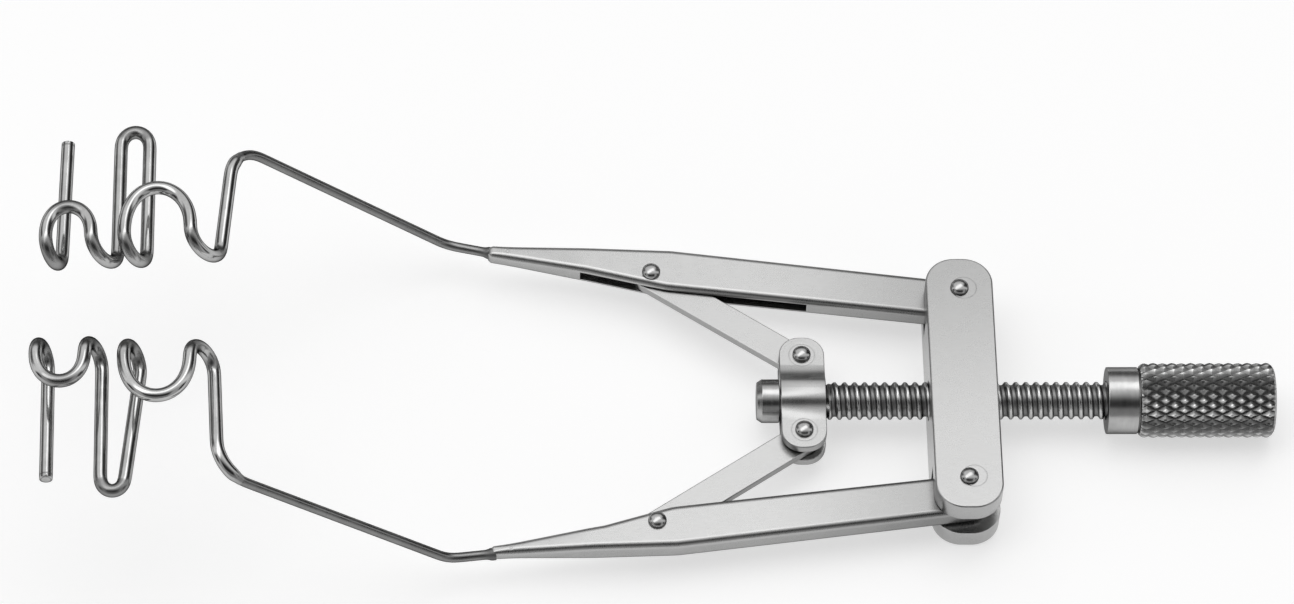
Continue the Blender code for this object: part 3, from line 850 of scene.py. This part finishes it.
def make_link(side, label, material):
    start = Vector((-YOKE_REACH, side * YOKE_PIVOT_Y, 0))
    end = arm_point(LINK_RIVET_ALONG, 0, side)
    run = (end - start).normalized()
    across = Vector((-run.y, run.x, 0))
    half = LINK_WIDTH / 2
    corners = [start - (run + across) * half, end + (run - across) * half,
               end + (run + across) * half, start - (run - across) * half]
    outline = round_corners(corners, [half * 0.98] * 4, True, 16)
    cutters = [rivet_hole(YOKE_RIVET_DIAMETER, start), rivet_hole(LINK_RIVET_DIAMETER, end, room=LINK_PLAY)]
    piece = shape("link_%s_plate" % label, slab(outline, LINK_THICKNESS / 2), material, PLATE_EDGE, cutters,
                  fine_edge=0, segments=3)
    dress(piece, "link_" + label, "link_" + label)


def make_strap(face, label, material):
    """Pressed strap: flat ears, and a bulge round the neck with small press radii at its feet."""
    reach = YOKE_PIVOT_Y + STRAP_END + MM
    half_profile = [(reach / MM, STRAP_BULGE[0][1])] + STRAP_BULGE
    outer = [Vector((y * MM, z * MM, 0)) for y, z in half_profile]
    outer = [outer[0], outer[1]] + relax(even_path(outer[1:], 0.06 * MM), 6, 1)
    inner = [p.copy() for p in outer]
    bore = NECK_DIAMETER / 2 + BORE_CLEARANCE
    for point in inner:
        point.y = max(point.y - STRAP_SHEET, math.sqrt(max(0.0, bore ** 2 - point.x ** 2)))
    section = inner + [Vector((-p.x, p.y, 0)) for p in inner[-2::-1]]
    section += [Vector((-p.x, p.y, 0)) for p in outer] + outer[-2::-1]
    stand = Matrix(((0, 0, 1), (1, 0, 0), (0, 1, 0))).to_4x4()
    placing = Matrix.Translation((-YOKE_REACH, 0, AXIS_HEIGHT))
    if face < 0:
        placing = placing @ Matrix.Rotation(math.pi, 4, "X")
    solid = prism(section, -STRAP_WIDTH / 2 - MM, STRAP_WIDTH / 2 + MM, placing @ stand)
    half = STRAP_WIDTH / 2
    corners = rectangle(half, YOKE_PIVOT_Y + STRAP_END, -YOKE_REACH)
    blank = plain_object("blank", prism(round_corners(corners, [half * 0.9] * 4, True, 20), *THROUGH_STRAP))
    cutters = [rivet_hole(YOKE_RIVET_DIAMETER, (-YOKE_REACH, side * YOKE_PIVOT_Y, 0), THROUGH_STRAP)
               for side in (1, -1)]
    piece = shape("strap_%s_plate" % label, solid, material, PLATE_EDGE, cutters, [blank],
                  fine_edge=0, segments=3)
    dress(piece, "strap_" + label, "yoke")


# Turned pieces

def make_rivet(name, body, diameter, grip, centre, flush, material):
    head = RIVET_HEAD_DIAMETER / 2
    stem = diameter / 2
    seat = grip / 2 + RIVET_SEAT_GAP
    dome = []
    for angle in range(0, 91, 7):
        turn = math.radians(angle)
        rise = RIVET_HEAD_HEIGHT * (RIVET_RIM + (1 - RIVET_RIM) * math.cos(turn))
        dome.append((head * math.sin(turn) ** 0.96, seat + rise))
    dome.append((head, seat + RIVET_HEAD_HEIGHT * RIVET_RIM))
    dome.append((head * 0.97, seat))
    profile = dome + [(stem, seat)]
    if flush:
        profile += [(stem, TURNED_EDGE - grip / 2), (stem - TURNED_EDGE, -grip / 2), (0, -grip / 2)]
    else:
        profile += [(stem, -seat)] + [(radius, -height) for radius, height in reversed(dome)]
    rows = [(height, radius, 0) for radius, height in profile]
    piece = lathe(name + "_peened", rows, RIVET_SIDES, material, Matrix.Translation(centre), 50)
    dress(piece, name, body)


def thread_radius(turn, height, radius, amount):
    """Right-hand thread with a wide round root, steep flanks and a narrow flat crest."""
    phase = (height / SCREW_PITCH - turn / (2 * math.pi)) % 1.0
    crest = abs(2 * phase - 1)
    share = min(1.0, max(0.0, (crest - THREAD_ROOT) / THREAD_FLANK))
    depth = amount * (1 - smooth(share))
    return radius - THREAD_DEPTH * depth, depth


def make_screw(material):
    root = SCREW_DIAMETER / 2
    neck = NECK_DIAMETER / 2
    collar = TIP_COLLAR_DIAMETER / 2
    half = STRAP_WIDTH / 2 + SIDE_CLEARANCE / 2
    chamfer = 0.2 * MM
    tip = -YOKE_REACH - half - TIP_COLLAR_LENGTH
    neck_low = -YOKE_REACH - half
    neck_high = -YOKE_REACH + half
    edge = TURNED_EDGE
    rows = [(tip, 0, 0), (tip, collar - chamfer - 0.3 * edge, 0), (tip + 0.3 * edge, collar - chamfer, 0),
            (tip + 1.5 * chamfer, collar - 0.2 * edge, 0), (tip + 1.5 * chamfer + 0.4 * edge, collar, 0),
            (neck_low - edge, collar, 0), (neck_low, collar - edge, 0), (neck_low, neck, 0),
            (neck_high, neck, 0), (neck_high, root - chamfer, 0)]
    start = neck_high + 0.12 * MM
    end = KNOB_REACH + 0.3 * MM
    count = int((end - start) / (SCREW_PITCH / ROWS_PER_THREAD))
    for k in range(count + 1):
        height = start + (end - start) * k / count
        ease = min(1.0, (height - neck_high) / (0.5 * MM))
        rows.append((height, root - max(0.0, chamfer * (1 - (height - neck_high) / chamfer)), ease))
    screw_end = KNOB_REACH + SCREW_IN_KNOB
    rows += [(end + 0.1 * MM, root - 0.1 * MM, 0), (screw_end, root - 0.1 * MM, 0), (screw_end, 0, 0)]
    piece = lathe("screw_thread", rows, SCREW_SIDES, material, along_screw(), 42, thread_radius)
    dress(piece, "screw", "screw")


def knurl_radius(turn, height, radius, amount):
    """Diamond knurl: two crossed sets of V grooves between small pyramids."""
    around = KNURL_STARTS * turn / (2 * math.pi)
    along = (height - KNOB_REACH) / KNURL_PITCH
    first = abs(2 * ((around + along) % 1.0) - 1)
    second = abs(2 * ((around - along) % 1.0) - 1)
    depth = 1 - min(first, second, 0.9) / 0.9
    return radius - KNURL_DEPTH * depth * amount, depth * amount


def knurl_rows():
    grip = GRIP_DIAMETER / 2
    start = KNOB_REACH + SHOULDER_LENGTH
    end = start + GRIP_LENGTH
    step = KNURL_PITCH / CELLS_PER_KNURL
    first = math.ceil((start - KNOB_REACH) / step + 0.2)
    last = math.floor((end - KNOB_REACH) / step - 0.2)
    rows = []
    for k in range(first, last + 1):
        height = KNOB_REACH + k * step
        inset = max(0.0, start + KNURL_CHAMFER - height, height - (end - KNURL_CHAMFER))
        rows.append((height, grip - inset * 0.85, max(0.0, 1 - inset / KNURL_CHAMFER * 0.85)))
    return rows


def poke_radius(height):
    """Radius and knurl amount between two rows of the grip, or None off the grip."""
    rows = knurl_rows()
    for (low, radius_low, amount_low), (high, radius_high, amount_high) in zip(rows, rows[1:]):
        if low <= height <= high:
            share = (height - low) / (high - low)
            return (radius_low + (radius_high - radius_low) * share,
                    amount_low + (amount_high - amount_low) * share)
    return None


def make_knob(material):
    shoulder = SHOULDER_DIAMETER / 2
    grip = GRIP_DIAMETER / 2
    socket = SCREW_DIAMETER / 2 + HOLE_CLEARANCE
    grip_start = KNOB_REACH + SHOULDER_LENGTH
    end = grip_start + GRIP_LENGTH
    edge = TURNED_EDGE
    floor = KNOB_REACH + KNOB_SOCKET_DEPTH
    rows = [(floor, 0, 0), (floor, socket, 0), (KNOB_REACH, socket, 0),
            (KNOB_REACH, shoulder - edge, 0), (KNOB_REACH + edge * 0.3, shoulder - edge * 0.3, 0),
            (KNOB_REACH + edge, shoulder, 0), (grip_start - 0.12 * MM, shoulder, 0),
            (grip_start - 0.05 * MM, shoulder - 0.07 * MM, 0), (grip_start, shoulder - 0.09 * MM, 0),
            (grip_start, grip - 0.42 * MM, 0), (grip_start + 0.012 * MM, grip - 0.33 * MM, 0)]
    rows += knurl_rows()
    rows += [(end - 0.03 * MM, grip - 0.33 * MM, 0), (end, grip - 0.4 * MM, 0), (end, 0.34 * MM, 0),
             (end - 0.12 * MM, 0.16 * MM, 0), (end - 0.14 * MM, 0, 0)]
    piece = lathe("knob_knurled", rows, KNURL_STARTS * CELLS_PER_KNURL, material, along_screw(), 28,
                  knurl_radius, True)
    dress(piece, "knob", "screw")


# Wires

def hook(x_from, x_to, inner_y, rising):
    """Half turn under the lid's edge, between a leg below and an arch above, or back."""
    points = []
    for k in range(1, HOOK_STEPS):
        turn = math.pi * k / HOOK_STEPS
        x = x_from + (x_to - x_from) * (1 - math.cos(turn)) / 2
        lift = -math.cos(turn) if rising else math.cos(turn)
        points.append((x, inner_y + HOOK_DEPTH * (1 - math.sin(turn)), lift * HOOK_RADIUS))
    return points


def arch(x_from, x_to, y_from, y_to, reach):
    """Round arch between two hooks, in the upper plane."""
    middle = (x_from + x_to) / 2
    half = (x_from - x_to) / 2
    points = []
    for k in range(ARCH_STEPS + 1):
        turn = math.pi * k / ARCH_STEPS
        base_y = y_from + (y_to - y_from) * k / ARCH_STEPS
        y = base_y + (reach - base_y) * math.sin(turn) ** 0.85
        points.append((middle + half * math.cos(turn), y, HOOK_RADIUS))
    return points


def loop(x_from, x_to, y_from, y_to, far_from, far_to, reach):
    """Long narrow loop between two hooks, in the lower plane."""
    middle = (far_from + far_to) / 2
    half = (far_from - far_to) / 2
    bend_y = reach - abs(half) * 1.25
    points = [(x_from, y_from, -HOOK_RADIUS), ((x_from + far_from) / 2, (y_from + bend_y) / 2, -HOOK_RADIUS)]
    for k in range(LOOP_STEPS + 1):
        turn = math.pi * k / LOOP_STEPS
        y = bend_y + (reach - bend_y) * math.sin(turn)
        points.append((middle + half * math.cos(turn), y, -HOOK_RADIUS))
    points += [((x_to + far_to) / 2, (y_to + bend_y) / 2, -HOOK_RADIUS), (x_to, y_to, -HOOK_RADIUS)]
    return points


def blade_points(blade):
    """The lid wire's path from its first leg to its bare end, for the upper blade."""
    x = [-leg * MM for leg in blade["legs"]]
    inner = [value * MM for value in blade["hooks"]]
    base = [value + HOOK_DEPTH for value in inner]
    reach = [value * MM for value in blade["arches"]]
    far_from, far_to, loop_reach = (value * MM for value in blade["loop"])
    end_x, end_y = (value * MM for value in blade["end"])
    points = [(x[0], base[0], -HOOK_RADIUS)]
    points += hook(x[0], x[1], inner[0], True)
    points += arch(x[1], x[2], base[0], base[1], reach[0])
    points += hook(x[2], x[3], inner[1], False)
    points += loop(x[3], x[4], base[1], base[2], -far_from, -far_to, loop_reach)
    points += hook(x[4], x[5], inner[2], True)
    points += arch(x[5], x[6], base[2], base[3], reach[1])
    points += hook(x[6], x[7], inner[3], False)
    points += [(x[7], base[3], -HOOK_RADIUS), (-end_x, end_y, -HOOK_RADIUS)]
    return points


def make_wires(side, label, blade, shank_material, wire_material):
    origin = Vector((0, 0, AXIS_HEIGHT))
    tip = arm_point(ARM_LENGTH - SHANK_INSERT, ARM_WIRE_OFFSET, side)
    bend_run, bend_offset = (value * MM for value in blade["bend"])
    corner_x, corner_y = (value * MM for value in blade["corner"])
    bend = arm_point(ARM_LENGTH + bend_run, bend_offset, side)
    corner = Vector((-corner_x, side * corner_y, SKIN_HEIGHT + CORNER_RISE))
    hooks = SKIN_HEIGHT + HOOK_RADIUS
    lid_path = [Vector((x, side * y, z + hooks)) for x, y, z in blade_points(blade)]
    fine = 6
    bent = round_corners([bend, corner, lid_path[0]], [0, blade["corner_radius"] * MM, 0], False, 8 * fine)
    share = blade["shank_share"] * fine + 1
    shank = round_corners([tip, bend, bent[1]], [0, SHANK_BEND_RADIUS, 0], False, 30) + bent[2:share + 1]
    shank = [p + origin for p in shank]
    lid = [p + origin for p in bent[share:] + lid_path[1:]]
    shank = relax(even_path(shank, WIRE_STEP), 12)
    lid = relax(even_path(lid, WIRE_STEP), 12)
    # the two wires are one bent line at the joint; the shank runs a little way into the lid wire
    shank_line = shank + [lid[0].lerp(lid[4], share) for share in (0.5, 1.0)]
    radius = SHANK_DIAMETER / 2
    radii, marks = [], []
    for i in range(len(shank_line)):
        from_arm = i * WIRE_STEP - SHANK_INSERT
        fillet = max(0.0, 1 - max(0.0, from_arm) / BRAZE_FILLET) ** 2
        radii.append(radius * (1 + 0.3 * fillet))
        marks.append(max(0.0, 1 - max(0.0, from_arm) / BRAZE_STAIN))
    piece = tube("shank_%s_wire" % label, shank_line, radii, shank_material, marks, SHANK_SIDES)
    dress(piece, "shank_" + label, "arm_" + label)
    wire = WIRE_DIAMETER / 2
    ramp = 7
    radii, marks = [], []
    for i in range(len(lid)):
        radii.append(radius * 1.04 + (wire - radius * 1.04) * smooth(min(1.0, i / ramp)))
        marks.append(max(0.0, 1 - i / (ramp * 1.6)))
    # eased bare end
    direction = (lid[-1] - lid[-2]).normalized()
    last = lid[-1]
    lid[-1] = last - direction * WIRE_END_EASE
    for push, narrow in ((0.06, 0.975), (0.1, 0.9), (0.13, 0.76), (0.14, 0.6)):
        lid.append(last - direction * WIRE_END_EASE + direction * push * MM)
        radii.append(wire * narrow)
        marks.append(0.0)
    piece = tube("lid_wire_%s_bent" % label, lid, radii, wire_material, marks, WIRE_SIDES)
    dress(piece, "lid_wire_" + label, "arm_" + label)


# Studio

def make_floor(height):
    """Large pale sheet that the instrument lies on, with its shadow kept."""
    solid = bmesh.new()
    bmesh.ops.create_circle(solid, cap_ends=True, radius=FLOOR_RADIUS, segments=64)
    mesh = bpy.data.meshes.new("floor")
    solid.to_mesh(mesh)
    solid.free()
    floor = put_in_scene("floor", mesh)
    floor.location.z = height
    material = bpy.data.materials.new("pale_floor")
    tree = Tree(material)
    nodes, links = tree.nodes, tree.links
    nodes.clear()

    def diffuse(level):
        shader = nodes.new("ShaderNodeBsdfDiffuse")
        shader.inputs["Color"].default_value = (level, level, level, 1)
        return shader.outputs[0]

    # seen is 1 for camera, glossy and transmission rays
    path = nodes.new("ShaderNodeLightPath")
    seen = path.outputs["Is Camera Ray"]
    for ray in ("Is Glossy Ray", "Is Transmission Ray"):
        seen = tree.maths("MAXIMUM", seen, path.outputs[ray])
    plain = diffuse(FLOOR_PLAIN)
    lit = diffuse(FLOOR_LIT)
    glow = nodes.new("ShaderNodeEmission")
    glow.inputs["Strength"].default_value = FLOOR_GLOW
    both = nodes.new("ShaderNodeAddShader")
    links.new(lit, both.inputs[0])
    links.new(glow.outputs[0], both.inputs[1])
    mix = nodes.new("ShaderNodeMixShader")
    links.new(seen, mix.inputs[0])
    links.new(plain, mix.inputs[1])
    links.new(both.outputs[0], mix.inputs[2])
    output = nodes.new("ShaderNodeOutputMaterial")
    links.new(mix.outputs[0], output.inputs["Surface"])
    mesh.materials.append(material)


def make_studio():
    """A pale ceiling between darker walls, and one long soft lamp overhead."""
    world = bpy.data.worlds.new("studio")
    bpy.context.scene.world = world
    tree = Tree(world)
    nodes, links, maths, blend = tree.nodes, tree.links, tree.maths, tree.blend
    background = nodes["Background"]
    background.inputs["Color"].default_value = (1, 1, 1, 1)
    split = nodes.new("ShaderNodeSeparateXYZ")
    links.new(nodes.new("ShaderNodeTexCoord").outputs["Generated"], split.inputs["Vector"])
    x, y, z = split.outputs
    lean = maths("ARCTAN2", maths("MULTIPLY", y, -1.0), z)
    level = SKY_ARCH[0][1]
    for (start, _), (end, above) in zip(SKY_ARCH, SKY_ARCH[1:]):
        level = blend(lean, math.radians(start), math.radians(end), level, above)
    sides = maths("MAXIMUM", level, SKY_SIDES)
    across = maths("ABSOLUTE", x)
    level = blend(across, *SIDES_SPAN, level, sides)
    near = maths("MULTIPLY", blend(y, *NEAR_START, 0.0, 1.0), blend(y, *NEAR_STOP, 1.0, 0.0))
    near_ends = maths("MULTIPLY", near, blend(across, *NEAR_ENDS_SPAN, 0.0, 1.0))
    far = blend(y, *FAR_START, 0.0, 1.0)
    right = maths("MULTIPLY", blend(x, *RIGHT_SPAN, 0.0, 1.0), far)
    left = maths("MULTIPLY", blend(x, *LEFT_SPAN, 0.0, 1.0), far)
    for part, part_level in ((near_ends, SKY_NEAR_ENDS), (right, SKY_RIGHT), (left, SKY_LEFT)):
        level = blend(part, 0.0, 1.0, level, part_level)
    links.new(level, background.inputs["Strength"])
    lamp = bpy.data.lights.new("soft_lamp", "AREA")
    lamp.shape = "RECTANGLE"
    lamp.size, lamp.size_y = LAMP_SIZE
    lamp.energy = LAMP_ENERGY
    holder = put_in_scene("soft_lamp", lamp)
    place = Vector(LAMP_PLACE)
    holder.location = place
    holder.rotation_euler = (place - Vector(LAMP_AIM)).to_track_quat("Z", "Y").to_euler()


def make_camera():
    """The photograph's camera, from its fitted place and angles."""
    elevation = math.radians(VIEW_ELEVATION)
    azimuth = math.radians(VIEW_AZIMUTH)
    roll = math.radians(VIEW_ROLL)
    back = Vector((math.sin(azimuth) * math.cos(elevation), -math.cos(azimuth) * math.cos(elevation),
                   math.sin(elevation)))
    right = Vector((0, 0, 1)).cross(back).normalized()
    up = back.cross(right)
    across = right * math.cos(roll) + up * math.sin(roll)
    upright = -right * math.sin(roll) + up * math.cos(roll)
    eye = (Vector(VIEW_TARGET) + back * VIEW_DISTANCE) * MM
    data = bpy.data.cameras.new("photo_camera")
    data.lens = VIEW_LENS
    data.sensor_width = 36.0
    data.clip_start = 0.01
    data.clip_end = 50.0
    camera = put_in_scene("photo_camera", data)
    matrix = Matrix((across, upright, back)).transposed().to_4x4()
    matrix.translation = eye
    camera.matrix_world = matrix
    bpy.context.scene.camera = camera


# Faint rings of the rivets' settings: (centre, radius, width)
bar_marks = [((0.28 * MM, PIVOT_Y + 0.04 * MM), 0.8 * MM, 0.05 * MM),
             ((0.34 * MM, -PIVOT_Y + 0.08 * MM), 0.78 * MM, 0.05 * MM)]
arm_marks = [(arm_point(29.0 * MM, 0.72 * MM, side), 0.1 * MM, 0.07 * MM) for side in (1, -1)]
yoke_marks = [((-YOKE_REACH, side * YOKE_PIVOT_Y), 0.82 * MM, 0.05 * MM) for side in (1, -1)]
# The tuple after each plate's level and edge tint is its painted shade: the bar darker towards its +Y end,
# the arms darker towards the bar, the straps barely so
bar_metal = plate_steel("bar_steel", 0.42, 1.0, ((0, -1, 0), -10 * MM, 5 * MM, 0.78), bar_marks)
arm_metal = plate_steel("arm_steel", 0.45, 0.2, ((-1, 0, 0), -1 * MM, 14 * MM, 0.68), arm_marks)
strap_metal = plate_steel("strap_steel", 0.42, 0.4, ((-1, 0, 0), 7 * MM, 9 * MM, 0.96), yoke_marks)
turned_metal = turned_steel("turned_steel", 0.36)
shank_metal = wire_steel("shank_steel", 0.24, 0.24, 0.32, 0.1)
wire_metal = wire_steel("lid_wire_steel", 0.5, 0.11, 0.17, 0.0)
rivet_metal = rivet_steel("rivet_steel")

make_bar(bar_metal)
make_strap(1, "front", strap_metal)
make_strap(-1, "rear", strap_metal)
make_screw(turned_metal)
make_knob(turned_metal)
for side, label, form, blade in ((1, "upper", UPPER_ARM, UPPER_BLADE), (-1, "lower", LOWER_ARM, LOWER_BLADE)):
    make_arm(side, label, form, arm_metal)
    make_link(side, label, arm_metal)
    make_wires(side, label, blade, shank_metal, wire_metal)
    arm_rivet = arm_point(LINK_RIVET_ALONG, 0, side)
    arm_rivet.z = AXIS_HEIGHT
    bar_rivet = Vector((0, side * PIVOT_Y, AXIS_HEIGHT))
    yoke_rivet = Vector((-YOKE_REACH, side * YOKE_PIVOT_Y, AXIS_HEIGHT))
    yoke_grip = STRAP_GAP + 2 * STRAP_SHEET
    for name, body, diameter, grip, centre, flush in (
            ("bar_rivet_", "bar", BAR_RIVET_DIAMETER, BAR_THICKNESS, bar_rivet, True),
            ("arm_rivet_", "arm_" + label, LINK_RIVET_DIAMETER, ARM_THICKNESS, arm_rivet, False),
            ("yoke_rivet_", "yoke", YOKE_RIVET_DIAMETER, yoke_grip, yoke_rivet, False)):
        make_rivet(name + label, body, diameter, grip, centre, flush, rivet_metal)

make_floor(cad_box[0][2] - FLOOR_GAP)
make_studio()
make_camera()
bpy.context.scene.view_settings.view_transform = "Standard"
